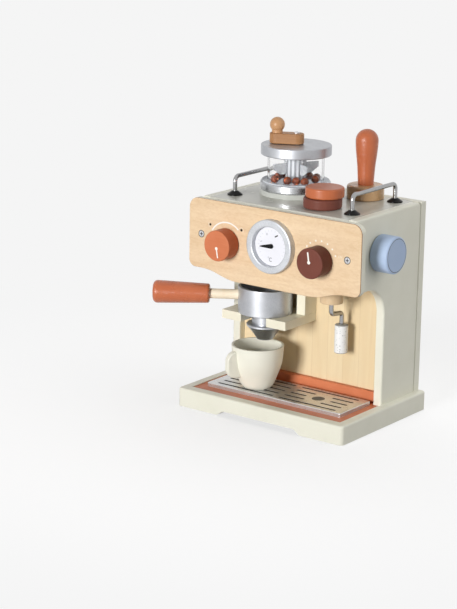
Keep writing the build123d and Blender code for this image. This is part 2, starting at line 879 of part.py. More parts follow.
# Tamper: wooden foot and turned handle
tamper = (tamper_x, front + tamper_setback)
tamper_bottom = body_height + rest_gap
grip_bottom = tamper_bottom + tamper_base_height
with BuildPart() as tamper_base:
    with Locations(at_height(tamper, tamper_bottom)):
        Cylinder(tamper_radius, tamper_base_height, align=low)
    fillet(tamper_base.edges().group_by(Axis.Z)[-1], tamper_base_edge)
    fillet(tamper_base.edges().group_by(Axis.Z)[0], tamper_base_edge / 3)
    with Locations(at_height(tamper, grip_bottom)):
        Cylinder(tamper_peg_radius + snug, tamper_peg_depth + snug, align=high, mode=Mode.SUBTRACT)
tamper_base.part.label = "tamper_base"
export_step(tamper_base.part, "parts/tamper_base.step")

with BuildPart() as tamper_handle:
    with BuildSketch(facing_front(tamper[0], tamper[1], grip_bottom)):
        with BuildLine():
            shoulder_height = tamper_handle_height - tamper_grip_radius
            side_curve = Spline(
                (tamper_grip_low_radius, 0),
                (tamper_grip_low_radius + 1.7, tamper_handle_height * 0.38),
                (tamper_grip_radius, shoulder_height),
                tangents=((0.06, 1), (0, 1)),
            )
            RadiusArc(side_curve @ 1, (0, tamper_handle_height), -tamper_grip_radius)
            Polyline((0, tamper_handle_height), (0, 0), (tamper_grip_low_radius, 0))
        make_face()
    revolve(axis=Axis((tamper[0], tamper[1], 0), (0, 0, 1)))
    with Locations(at_height(tamper, grip_bottom)):
        Cylinder(tamper_peg_radius, tamper_peg_depth, align=high)
tamper_handle.part.label = "tamper_handle"
export_step(tamper_handle.part, "parts/tamper_handle.step")

# Two coffee pods in a stack
pod_bottom = body_height + rest_gap
for name, shift, bottom in (
    ("pod_brown", 0, pod_bottom),
    ("pod_terracotta", pod_shift, pod_bottom + pod_height + rest_gap),
):
    with BuildPart() as pod:
        with Locations(at_height((pod_x + shift, front + pod_setback + shift), bottom)):
            Cylinder(pod_radius, pod_height, align=low)
        fillet(pod.edges().group_by(Axis.Z)[0] + pod.edges().group_by(Axis.Z)[-1], pod_edge)
    pod.part.label = name
    export_step(pod.part, f"parts/{name}.step")

# Group: two cheeks under the head carry the fork
fork_top = fork_clearance + fork_board
fork_front = group[1] - fork_reach
for name, side in (("group_cheek_left", -1), ("group_cheek_right", 1)):
    cheek_x = group[0] + side * (fork_width - cheek_board) / 2
    with BuildPart() as group_cheek:
        with BuildSketch(Plane.XY.offset(fork_top)):
            with Locations((cheek_x, wall_front - cheek_depth / 2)):
                Rectangle(cheek_board, cheek_depth)
        extrude(amount=head_clearance - fork_top)
        front_edges = group_cheek.edges().filter_by(Axis.Z).group_by(Axis.Y)[0]
        fillet(front_edges, fork_edge)
        fillet(group_cheek.edges().group_by(Axis.Z)[0], cheek_seam)
    group_cheek.part.label = name
    export_step(group_cheek.part, f"parts/{name}.step")

with BuildPart() as group_fork:
    fork_depth = wall_front - fork_front
    with BuildSketch(Plane.XY.offset(fork_clearance)):
        with Locations((group[0], fork_front + fork_depth / 2)):
            Rectangle(fork_width, fork_depth)
        with Locations(group):
            Circle(fork_slot_radius, mode=Mode.SUBTRACT)
        with Locations((group[0], fork_front)):
            Rectangle(2 * fork_slot_radius, 2 * fork_reach, mode=Mode.SUBTRACT)
    extrude(amount=fork_board)
    prong_edges = group_fork.edges().filter_by(Axis.Z).group_by(Axis.Y)[0]
    fillet(prong_edges, fork_edge)
group_fork.part.label = "group_fork"
export_step(group_fork.part, "parts/group_fork.step")

# Portafilter: open bowl with a side handle, and the neck and spout below the fork
bowl_bottom = fork_top + rest_gap
handle_height = bowl_bottom + handle_lift
heading = radians(handle_angle)
handle_direction = (cos(heading), sin(heading), 0)


def along_handle(distance):
    """A plane across the handle's axis, that far out from the bowl's axis."""
    spot = (
        group[0] + distance * handle_direction[0],
        group[1] + distance * handle_direction[1],
        handle_height,
    )
    return Plane(origin=spot, x_dir=(0, 0, 1), z_dir=handle_direction)


rod_start = bowl_radius - bowl_wall / 2
with BuildPart() as portafilter_bowl:
    with Locations(at_height(group, bowl_bottom)):
        Cylinder(bowl_radius, bowl_height, align=low)
    fillet(portafilter_bowl.edges(), bowl_edge)
    with Locations(at_height(group, bowl_bottom + bowl_floor)):
        Cylinder(bowl_radius - bowl_wall, bowl_height, align=low, mode=Mode.SUBTRACT)
    with Locations(at_height(group, bowl_bottom)):
        Cylinder(spigot_radius + running, spigot_depth + snug, align=low, mode=Mode.SUBTRACT)
    with Locations(along_handle(rod_start)):
        Cylinder(rod_radius + snug, bowl_wall, align=low, mode=Mode.SUBTRACT)
portafilter_bowl.part.label = "portafilter_bowl"
export_step(portafilter_bowl.part, "parts/portafilter_bowl.step")

with BuildPart() as portafilter_rod:
    with Locations(along_handle(rod_start + snug)):
        Cylinder(rod_radius, rod_length, align=low)
portafilter_rod.part.label = "portafilter_rod"
export_step(portafilter_rod.part, "parts/portafilter_rod.step")

with BuildPart() as portafilter_handle:
    with Locations(along_handle(handle_start + handle_length / 2)):
        Cone(handle_near_radius, handle_far_radius, handle_length)
    ends = portafilter_handle.edges().filter_by(GeomType.CIRCLE).sort_by(SortBy.RADIUS)
    fillet(ends[-1], handle_far_edge)
    fillet(
        portafilter_handle.edges().filter_by(GeomType.CIRCLE).sort_by_distance(along_handle(0).origin)[0],
        handle_near_edge,
    )
    with Locations(along_handle(handle_start)):
        Cylinder(
            rod_radius + snug,
            rod_start + rod_length - handle_start + 2 * snug,
            align=low,
            mode=Mode.SUBTRACT,
        )
portafilter_handle.part.label = "portafilter_handle"
export_step(portafilter_handle.part, "parts/portafilter_handle.step")

spout_top = fork_clearance - spout_drop
with BuildPart() as portafilter_spout:
    with BuildSketch(facing_front(group[0], group[1], spout_top)):
        neck_height = bowl_bottom - spout_top - rest_gap
        with BuildLine():
            flare = Polyline(
                (0, neck_height),
                (neck_radius, neck_height),
                (neck_radius, 0),
                (spout_radius - 1, 0),
                (spout_radius, -1),
                (spout_radius, -spout_rim),
                (spout_waist_radius, -spout_rim - spout_bevel),
                (spout_tip_radius, -spout_height + spout_tip_edge),
            )
            RadiusArc(flare @ 1, (spout_tip_radius - spout_tip_edge, -spout_height), spout_tip_edge)
            Polyline((spout_tip_radius - spout_tip_edge, -spout_height), (0, -spout_height), (0, neck_height))
        make_face()
    revolve(axis=Axis((group[0], group[1], 0), (0, 0, 1)))
    with Locations(at_height(group, bowl_bottom - rest_gap)):
        Cylinder(spigot_radius, spigot_depth + rest_gap, align=low)
    with Locations(at_height(group, spout_top - spout_height)):
        Cylinder(spout_bore_radius, spout_bore_depth, align=low, mode=Mode.SUBTRACT)
portafilter_spout.part.label = "portafilter_spout"
export_step(portafilter_spout.part, "parts/portafilter_spout.step")

# Steam wand: cranked tube that turns in a wooden socket under the head
socket_bottom = head_clearance - socket_length
with BuildPart() as steam_socket:
    with Locations(at_height(wand, socket_bottom)):
        Cylinder(socket_radius, socket_length, align=low)
    fillet(steam_socket.edges().group_by(Axis.Z)[0], socket_edge)
    with Locations(at_height(wand, socket_bottom)):
        Cylinder(tube_radius + running, tube_grip + rest_gap, align=low, mode=Mode.SUBTRACT)
steam_socket.part.label = "steam_socket"
export_step(steam_socket.part, "parts/steam_socket.step")

tube_heading = radians(tube_angle)
tip_spot = (wand[0] + tube_offset * cos(tube_heading), wand[1] + tube_offset * sin(tube_heading))
tip_top = socket_bottom - wand_drop
with BuildPart() as steam_tube:
    with BuildLine() as route:
        FilletPolyline(
            (wand[0], wand[1], socket_bottom + tube_grip),
            (wand[0], wand[1], socket_bottom - tube_drop),
            (tip_spot[0], tip_spot[1], socket_bottom - tube_drop - tube_fall),
            (tip_spot[0], tip_spot[1], tip_top - wand_grip + snug),
            radius=tube_bend,
        )
    with BuildSketch(Plane(origin=route.line @ 0, z_dir=route.line % 0)):
        Circle(tube_radius)
    sweep()
steam_tube.part.label = "steam_tube"
export_step(steam_tube.part, "parts/steam_tube.step")

with BuildPart() as steam_tip:
    with Locations(at_height(tip_spot, tip_top)):
        Cylinder(wand_radius, wand_length, align=high)
    fillet(steam_tip.edges().group_by(Axis.Z)[0] + steam_tip.edges().group_by(Axis.Z)[-1], wand_edge)
    with Locations(at_height(tip_spot, tip_top)):
        Cylinder(tube_radius + snug, wand_grip, align=high, mode=Mode.SUBTRACT)
steam_tip.part.label = "steam_tip"
export_step(steam_tip.part, "parts/steam_tip.step")

# Cup with a solid ear, standing on the grille under the spout
cup = (cup_x, group[1] - cup_ahead)
cup_bottom = tray_top + rest_gap
ear_turn = radians(cup_ear_angle)
ear_plane = Plane(
    origin=(cup[0], cup[1], cup_bottom + cup_ear_height),
    x_dir=(cos(ear_turn), sin(ear_turn), 0),
    z_dir=(sin(ear_turn), -cos(ear_turn), 0),
)
with BuildPart() as cup_ear:
    with BuildSketch(ear_plane):
        with Locations((cup_ear_centre, 0)):
            RectangleRounded(cup_ear_length, cup_ear_drop, cup_ear_corner)
    extrude(amount=cup_ear_board / 2, both=True)
    fillet(cup_ear.edges(), cup_ear_edge)

with BuildPart() as cup_piece:
    add(cup_ear.part)
    for inset, bottom, top, mode in (
        (0, 0, cup_height, Mode.ADD),
        (cup_wall, cup_floor, cup_height + cup_wall, Mode.SUBTRACT),
    ):
        with BuildSketch(facing_front(cup[0], cup[1], cup_bottom)):
            with BuildLine():
                side_curve = Spline(
                    (cup_foot_radius - inset, bottom),
                    (cup_waist_radius - inset, cup_waist_height + bottom / 2),
                    (cup_belly_radius - inset, cup_belly_height),
                    (cup_rim_radius - inset, top),
                    tangents=(cup_foot_slope, cup_rim_slope),
                )
                Polyline(side_curve @ 1, (0, top), (0, bottom), (cup_foot_radius - inset, bottom))
            make_face()
        revolve(axis=Axis((cup[0], cup[1], 0), (0, 0, 1)), mode=mode)
cup_piece.part.label = "cup"
export_step(cup_piece.part, "parts/cup.step")
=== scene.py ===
from math import cos, pi, radians, sin

import bpy
from mathutils import Matrix, Vector


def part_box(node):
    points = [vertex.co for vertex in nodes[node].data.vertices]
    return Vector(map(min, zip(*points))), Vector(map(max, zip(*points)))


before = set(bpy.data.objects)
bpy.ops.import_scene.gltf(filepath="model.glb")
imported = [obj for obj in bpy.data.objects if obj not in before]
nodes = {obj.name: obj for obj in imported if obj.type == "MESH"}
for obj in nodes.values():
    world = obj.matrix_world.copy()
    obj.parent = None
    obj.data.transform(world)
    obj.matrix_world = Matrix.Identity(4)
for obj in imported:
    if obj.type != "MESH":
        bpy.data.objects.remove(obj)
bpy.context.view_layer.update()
print("frame loaded:", len(nodes), "nodes")


def wayFrom(azimuth, elevation):  # from the object outwards, in radians; azimuth 0 is its front
    return Vector((sin(azimuth) * cos(elevation), -cos(azimuth) * cos(elevation), sin(elevation)))


camera = {"place": (1.2931, -1.8717, 0.7320), "azimuth": 36.927, "elevation": 14.896, "roll": 0.891,
          "lens": 115.95, "sensor": 36, "nearest": 0.01}


def makeCamera():
    azimuth, elevation, roll = (radians(camera[key]) for key in ("azimuth", "elevation", "roll"))
    back = wayFrom(azimuth, elevation)
    right = (-back).cross(Vector((0, 0, 1))).normalized()
    up = right.cross(-back)
    across = right * cos(roll) + up * sin(roll)
    upward = up * cos(roll) - right * sin(roll)
    data = bpy.data.cameras.new("camera")
    data.lens = camera["lens"]
    data.sensor_width = camera["sensor"]
    data.clip_start = camera["nearest"]
    eye = bpy.data.objects.new("camera", data)
    turn = Matrix((across, upward, back)).transposed().to_4x4()
    eye.matrix_world = Matrix.Translation(camera["place"]) @ turn
    bpy.context.scene.collection.objects.link(eye)
    bpy.context.scene.camera = eye


frontLamp = {"azimuth": 1, "elevation": 12, "distance": 3.0, "target": (0, 0, 0.14),
             "width": 0.8, "height": 0.9, "watts": 85}


def makeFrontLamp():  # one broad low lamp, which throws short soft shadows straight back
    way = wayFrom(radians(frontLamp["azimuth"]), radians(frontLamp["elevation"]))
    place = way * frontLamp["distance"]
    data = bpy.data.lights.new("frontLamp", "AREA")
    data.shape = "RECTANGLE"
    data.size = frontLamp["width"]
    data.size_y = frontLamp["height"]
    data.energy = frontLamp["watts"]
    lamp = bpy.data.objects.new("frontLamp", data)
    lamp.location = place
    lamp.rotation_euler = (Vector(frontLamp["target"]) - place).to_track_quat("-Z", "Y").to_euler()
    bpy.context.scene.collection.objects.link(lamp)


def feed(tree, socket, source):  # the source is another node's socket or a plain value
    if isinstance(source, bpy.types.NodeSocket):
        tree.links.new(source, socket)
    else:
        socket.default_value = source


def addNode(tree, kind, inputs=None, **settings):
    node = tree.nodes.new("ShaderNode" + kind)
    for name, value in settings.items():
        setattr(node, name, value)
    for name, source in (inputs or {}).items():
        feed(tree, node.inputs[name], source)
    return node


def reckon(tree, operation, *sources):
    return addNode(tree, "Math", dict(enumerate(sources)), operation=operation).outputs[0]


def reckonVector(tree, operation, *sources):
    node = addNode(tree, "VectorMath", dict(enumerate(sources)), operation=operation)
    return node.outputs["Value" if operation in ("DOT_PRODUCT", "DISTANCE", "LENGTH") else "Vector"]


def spread(tree, value, low, high, toLow=0.0, toHigh=1.0, curve="LINEAR"):  # held at both ends
    inputs = {0: value, 1: low, 2: high, 3: toLow, 4: toHigh}
    return addNode(tree, "MapRange", inputs, interpolation_type=curve).outputs[0]


def blend(tree, share, first, second, blendType="MIX"):  # share 0 is the first colour, 1 the second
    inputs = {0: share, 6: first, 7: second}
    return addNode(tree, "Mix", inputs, data_type="RGBA", blend_type=blendType).outputs[2]


def split(tree, place):
    return addNode(tree, "SeparateXYZ", {0: place}).outputs


def objectPlace(tree):
    return addNode(tree, "TexCoord").outputs["Object"]


def turned(tree, place, degrees):
    inputs = {"Vector": place, "Rotation": tuple(radians(angle) for angle in degrees)}
    return addNode(tree, "Mapping", inputs).outputs[0]


def stretched(tree, place, factors):
    return reckonVector(tree, "MULTIPLY", place, factors)


def noise(tree, place, scale, detail=2.0, distortion=0.0):
    inputs = {"Vector": place, "Scale": scale, "Detail": detail, "Distortion": distortion}
    return addNode(tree, "TexNoise", inputs).outputs["Fac"]


def seenRays(tree):  # 1 for camera, mirror and glass rays, 0 for light that lands on the object
    path = addNode(tree, "LightPath").outputs
    sharp = reckon(tree, "MAXIMUM", path["Is Camera Ray"], path["Is Glossy Ray"])
    return reckon(tree, "MAXIMUM", sharp, path["Is Transmission Ray"])


white = (1, 1, 1, 1)
room = {  # brightSide points from the object to where the room is brightest
    "front": 0.02, "back": 1.36, "brightSide": (0.3, 1.0, -0.12), "softness": 0.3,
    "background": (0.913, 0.913, 0.913, 1),
}


def makeRoom():  # dim in front of the object and bright behind it; what is seen is a plain pale backdrop
    world = bpy.data.worlds.new("room")
    world.use_nodes = True
    bpy.context.scene.world = world
    tree = world.node_tree
    tree.nodes.clear()
    way = addNode(tree, "TexCoord").outputs["Generated"]
    facing = reckonVector(tree, "DOT_PRODUCT", way, tuple(Vector(room["brightSide"]).normalized()))
    glow = spread(tree, facing, -room["softness"], room["softness"], room["front"], room["back"], "SMOOTHSTEP")
    light = addNode(tree, "Background", {"Color": white, "Strength": glow}).outputs[0]
    backdrop = addNode(tree, "Background", {"Color": room["background"], "Strength": 1.0}).outputs[0]
    mix = addNode(tree, "MixShader", {0: seenRays(tree), 1: light, 2: backdrop}).outputs[0]
    addNode(tree, "OutputWorld", {"Surface": mix})


floorLook = {"radius": 3.0, "corners": 96, "drop": 0.0004, "albedo": (0.35, 0.35, 0.35, 1), "glow": 0.655,
             "fadeFrom": 0.3, "fadeTo": 0.7}


def makeFloor():  # near the object it takes shadows, and further out it fades into the backdrop
    bpy.ops.mesh.primitive_circle_add(
        vertices=floorLook["corners"], radius=floorLook["radius"], fill_type="NGON",
        location=(0, 0, -floorLook["drop"]))
    floor = bpy.context.object
    floor.name = "floor"
    material = bpy.data.materials.new("floorPaper")
    material.use_nodes = True
    tree = material.node_tree
    tree.nodes.clear()
    reach = reckonVector(tree, "LENGTH", objectPlace(tree))
    away = spread(tree, reach, floorLook["fadeFrom"], floorLook["fadeTo"], curve="SMOOTHSTEP")
    seen = seenRays(tree)
    paper = addNode(tree, "BsdfDiffuse", {"Color": floorLook["albedo"]}).outputs[0]
    strength = reckon(tree, "MULTIPLY", seen, floorLook["glow"])
    glow = addNode(tree, "Emission", {"Color": white, "Strength": strength}).outputs[0]
    lit = addNode(tree, "AddShader", {0: paper, 1: glow}).outputs[0]
    far = addNode(tree, "Emission", {"Color": room["background"], "Strength": 1.0}).outputs[0]
    mix = addNode(tree, "MixShader", {0: reckon(tree, "MULTIPLY", away, seen), 1: lit, 2: far}).outputs[0]
    addNode(tree, "OutputMaterial", {"Surface": mix})
    floor.data.materials.append(material)


bpy.context.scene.view_settings.view_transform = "Standard"
makeCamera()
makeFrontLamp()
makeRoom()
makeFloor()
print("camera, lamp, room and floor ready")


def startGroup(name, inputs, outputs):  # a number among the inputs makes a Float that starts there
    tree = bpy.data.node_groups.new(name, "ShaderNodeTree")
    for label, kind in inputs.items():
        isNumber = isinstance(kind, float)
        socketType = "NodeSocket" + ("Float" if isNumber else kind)
        socket = tree.interface.new_socket(label, in_out="INPUT", socket_type=socketType)
        if isNumber:
            socket.default_value = kind
    for label, kind in outputs.items():
        tree.interface.new_socket(label, in_out="OUTPUT", socket_type="NodeSocket" + kind)
    entry = tree.nodes.new("NodeGroupInput")
    leave = tree.nodes.new("NodeGroupOutput")
    return tree, entry.outputs, leave.inputs


skinOutputs = {"Color": "Color", "Roughness": "Float", "Height": "Float"}
maskOutput = {"Mask": "Float"}
woodLayers = {  # repeats in a metre along and across the grain, detail, and how far the layer wanders
    "bands": ((7, 70, 70), 3.0, 1.4),
    "streaks": ((22, 420, 420), 3.0, 0.3),
    "pores": ((190, 2300, 2300), 2.0, 0.0),
    "cloud": ((14, 26, 26), 2.0, 0.0),
    "mottle": ((150, 340, 340), 3.0, 0.8),
}
woodShares = {"streaks": 0.45, "bands": 0.55, "cloud": 0.16, "cloudTone": (0.5, 0.42, 0.33, 1), "relief": 0.5}


def makeWoodFigure():  # the grain runs along X of the place it is given
    tree, entry, leave = startGroup(
        "woodFigure",
        {"Place": "Vector", "Pale": "Color", "Dark": "Color", "Figure": 0.5, "Mottle": 0.0, "Pores": 0.3,
         "Roughness": 0.5},
        skinOutputs,
    )
    layers = {
        name: noise(tree, stretched(tree, entry["Place"], repeats), 1.0, detail, wander)
        for name, (repeats, detail, wander) in woodLayers.items()
    }
    bands = spread(tree, layers["bands"], 0.3, 0.7, 0.0, woodShares["bands"])
    figure = reckon(tree, "MULTIPLY_ADD", layers["streaks"], woodShares["streaks"], bands)
    mottle = spread(tree, layers["mottle"], 0.4, 0.62)
    share = reckon(tree, "ADD", reckon(tree, "MULTIPLY", figure, entry["Figure"]),
                   reckon(tree, "MULTIPLY", mottle, entry["Mottle"]))
    body = blend(tree, share, entry["Pale"], entry["Dark"])
    pores = reckon(tree, "MULTIPLY", spread(tree, layers["pores"], 0.6, 0.72), entry["Pores"])
    cloud = spread(tree, layers["cloud"], 0.35, 0.7, 0.0, woodShares["cloud"])
    toned = blend(tree, cloud, body, woodShares["cloudTone"], "SOFT_LIGHT")
    worn = spread(tree, layers["streaks"], 0.3, 0.7, -0.05, 0.07)
    raised = reckon(tree, "MULTIPLY", layers["streaks"], woodShares["relief"])
    feed(tree, leave["Color"], blend(tree, pores, toned, entry["Dark"]))
    feed(tree, leave["Roughness"], reckon(tree, "ADD", entry["Roughness"], worn))
    feed(tree, leave["Height"], reckon(tree, "SUBTRACT", raised, pores))


paintTexture = {"cloud": 38.0, "peel": 1400.0, "grain": (30, 620, 620), "cloudShare": 0.45, "grainShare": 0.35,
                "peelRelief": 0.5}


def makePaintSkin():  # sprayed paint on wood: faint cloud, orange peel, and the grain telegraphing through
    tree, entry, leave = startGroup(
        "paintSkin",
        {"Place": "Vector", "Paint": "Color", "Shade": "Color", "Grain": 0.2, "Roughness": 0.4},
        skinOutputs,
    )
    place = entry["Place"]
    cloud = noise(tree, place, paintTexture["cloud"], 3.0)
    peel = noise(tree, place, paintTexture["peel"])
    wood = noise(tree, stretched(tree, place, paintTexture["grain"]), 1.0, 3.0, 0.3)
    grain = reckon(tree, "MULTIPLY", spread(tree, wood, 0.35, 0.65), entry["Grain"])
    share = reckon(tree, "ADD", spread(tree, cloud, 0.35, 0.7, 0.0, paintTexture["cloudShare"]),
                   reckon(tree, "MULTIPLY", grain, paintTexture["grainShare"]))
    worn = spread(tree, cloud, 0.3, 0.7, -0.04, 0.06)
    raised = reckon(tree, "MULTIPLY", peel, paintTexture["peelRelief"])
    feed(tree, leave["Color"], blend(tree, share, entry["Paint"], entry["Shade"]))
    feed(tree, leave["Roughness"], reckon(tree, "ADD", entry["Roughness"], worn))
    feed(tree, leave["Height"], reckon(tree, "ADD", raised, grain))


silverTexture = {"drift": 60.0, "driftShare": 0.5, "flakes": 1900.0}


def makeSilverSkin():  # aluminium paint: flakes that glint, with soft darker drifts
    tree, entry, leave = startGroup(
        "silverSkin",
        {"Place": "Vector", "Metal": "Color", "Shade": "Color", "Flake": 0.5, "Roughness": 0.35},
        skinOutputs,
    )
    place = entry["Place"]
    drift = noise(tree, place, silverTexture["drift"], 3.0)
    cells = addNode(tree, "TexVoronoi", {"Vector": place, "Scale": silverTexture["flakes"]}).outputs["Color"]
    glint = addNode(tree, "SeparateColor", {0: cells}).outputs[0]
    flakes = reckon(tree, "MULTIPLY", glint, entry["Flake"])
    share = reckon(tree, "ADD", spread(tree, drift, 0.3, 0.75, 0.0, silverTexture["driftShare"]), flakes)
    worn = spread(tree, glint, 0.0, 1.0, -0.05, 0.08)
    feed(tree, leave["Color"], blend(tree, share, entry["Metal"], entry["Shade"]))
    feed(tree, leave["Roughness"], reckon(tree, "ADD", entry["Roughness"], worn))
    feed(tree, leave["Height"], flakes)


def makeFlecks():  # one round fleck in each cell, of its own size
    tree, entry, leave = startGroup(
        "flecks",
        {"Place": "Vector", "Ground": "Color", "Fleck": "Color", "Spacing": 300.0, "Size": 0.2},
        {"Color": "Color"} | maskOutput,
    )
    inputs = {"Vector": entry["Place"], "Scale": entry["Spacing"], "Randomness": 1.0}
    cells = addNode(tree, "TexVoronoi", inputs).outputs
    pick = addNode(tree, "SeparateColor", {0: cells["Color"]}).outputs[0]
    radius = reckon(tree, "MULTIPLY", entry["Size"], spread(tree, pick, 0.25, 1.0))
    mask = reckon(tree, "LESS_THAN", cells["Distance"], radius)
    feed(tree, leave["Color"], blend(tree, mask, entry["Ground"], entry["Fleck"]))
    feed(tree, leave["Mask"], mask)


def flatDistance(tree, place, centre):  # the way from a centre to a point, seen from the front, and its length
    flat = stretched(tree, reckonVector(tree, "SUBTRACT", place, centre), (1, 0, 1))
    return flat, reckonVector(tree, "LENGTH", flat)


softEdge = 0.00012  # half the width over which printed ink fades out


def isWithin(tree, value, limit):  # 1 below the limit, 0 above it
    return spread(tree, reckon(tree, "SUBTRACT", value, limit), -softEdge, softEdge, 1.0, 0.0)


def isOnLine(tree, distance, width):  # a line of that width stands where the distance is 0
    return isWithin(tree, distance, reckon(tree, "MULTIPLY", width, 0.5))


def apartFrom(tree, value, target):
    return reckon(tree, "ABSOLUTE", reckon(tree, "SUBTRACT", value, target))


def facingAim(tree, flat, aim):  # cosine of the angle between a point's way from the centre and the aim
    return reckonVector(tree, "DOT_PRODUCT", reckonVector(tree, "NORMALIZE", flat), aim)


def makeDotMark():
    tree, entry, leave = startGroup(
        "dotMark", {"Place": "Vector", "Centre": "Vector", "Radius": 0.001}, maskOutput)
    distance = flatDistance(tree, entry["Place"], entry["Centre"])[1]
    feed(tree, leave["Mask"], isWithin(tree, distance, entry["Radius"]))


def makeArcMark():  # part of a ring; Reach is the cosine of half its spread about Aim
    tree, entry, leave = startGroup(
        "arcMark",
        {"Place": "Vector", "Centre": "Vector", "Aim": "Vector", "Reach": -1.1, "Radius": 0.02, "Width": 0.001},
        maskOutput,
    )
    flat, distance = flatDistance(tree, entry["Place"], entry["Centre"])
    reached = reckon(tree, "GREATER_THAN", facingAim(tree, flat, entry["Aim"]), entry["Reach"])
    line = isOnLine(tree, apartFrom(tree, distance, entry["Radius"]), entry["Width"])
    feed(tree, leave["Mask"], reckon(tree, "MULTIPLY", line, reached))


def makeStrokeMark():  # a straight line with round ends
    tree, entry, leave = startGroup(
        "strokeMark", {"Place": "Vector", "Start": "Vector", "End": "Vector", "Width": 0.001}, maskOutput)
    flat = flatDistance(tree, entry["Place"], entry["Start"])[0]
    run = reckonVector(tree, "SUBTRACT", entry["End"], entry["Start"])
    ahead = reckonVector(tree, "DOT_PRODUCT", flat, run)
    whole = reckonVector(tree, "DOT_PRODUCT", run, run)
    share = spread(tree, reckon(tree, "DIVIDE", ahead, whole), 0.0, 1.0)
    nearest = addNode(tree, "VectorMath", {0: run, "Scale": share}, operation="SCALE").outputs["Vector"]
    apart = reckonVector(tree, "DISTANCE", flat, nearest)
    feed(tree, leave["Mask"], isOnLine(tree, apart, entry["Width"]))


def makeTickRing():  # short strokes all round a centre, with a gap where Aim points
    tree, entry, leave = startGroup(
        "tickRing",
        {"Place": "Vector", "Centre": "Vector", "Aim": "Vector", "Gap": 0.7, "Radius": 0.02, "Length": 0.002,
         "Width": 0.0005, "Count": 12.0},
        maskOutput,
    )
    flat, distance = flatDistance(tree, entry["Place"], entry["Centre"])
    parts = split(tree, flat)
    turns = reckon(tree, "DIVIDE", reckon(tree, "ARCTAN2", parts["Z"], parts["X"]), 2 * pi)
    beat = reckon(tree, "FRACT", reckon(tree, "ADD", reckon(tree, "MULTIPLY", turns, entry["Count"]), 0.5))
    offBeat = reckon(tree, "DIVIDE", apartFrom(tree, beat, 0.5), entry["Count"])
    sideways = reckon(tree, "MULTIPLY", reckon(tree, "MULTIPLY", offBeat, 2 * pi), distance)
    line = reckon(tree, "MULTIPLY", isOnLine(tree, sideways, entry["Width"]),
                  isOnLine(tree, apartFrom(tree, distance, entry["Radius"]), entry["Length"]))
    clear = reckon(tree, "LESS_THAN", facingAim(tree, flat, entry["Aim"]), entry["Gap"])
    feed(tree, leave["Mask"], reckon(tree, "MULTIPLY", line, clear))


makeWoodFigure()
makePaintSkin()
makeSilverSkin()
makeFlecks()
makeDotMark()
makeArcMark()
makeStrokeMark()
makeTickRing()
print("node groups built:", len(bpy.data.node_groups))


def placeGroup(tree, name, inputs):
    node = tree.nodes.new("ShaderNodeGroup")
    node.node_tree = bpy.data.node_groups[name]
    for label, source in inputs.items():
        feed(tree, node.inputs[label], source)
    return node.outputs


def newMaterial(name, shader, turn=None):
    material = bpy.data.materials.new(name)
    material.use_nodes = True
    tree = material.node_tree
    tree.nodes.clear()
    surface = addNode(tree, "BsdfPrincipled", shader)
    addNode(tree, "OutputMaterial", {"Surface": surface.outputs[0]})
    place = objectPlace(tree)
    if turn:
        place = turned(tree, place, turn)
    return material, tree, surface.inputs, place


def emboss(tree, surface, height, strength, depth, over=None):  # over is the normal it is laid on
    inputs = {"Height": height, "Strength": strength, "Distance": depth}
    if over is not None:
        inputs["Normal"] = over
    normal = addNode(tree, "Bump", inputs).outputs[0]
    feed(tree, surface["Normal"], normal)
    return normal


coatRelief, flakeRelief, latheRelief = 0.0004, 0.0002, 0.0003  # how deep each bump reads, in metres


def finish(tree, surface, skin, strength, depth=coatRelief):
    feed(tree, surface["Base Color"], skin["Color"])
    feed(tree, surface["Roughness"], skin["Roughness"])
    return emboss(tree, surface, skin["Height"], strength, depth)


def middleOf(name, first=0, second=2):  # the middle of a node's box on two of its axes
    low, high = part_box(name)
    return (low[first] + high[first]) / 2, (low[second] + high[second]) / 2


def tone(red, green, blue):  # screen values 0 to 255 as scene-linear colour
    def linear(value):
        share = value / 255
        return share / 12.92 if share <= 0.04045 else ((share + 0.055) / 1.055) ** 2.4
    return (linear(red), linear(green), linear(blue), 1)


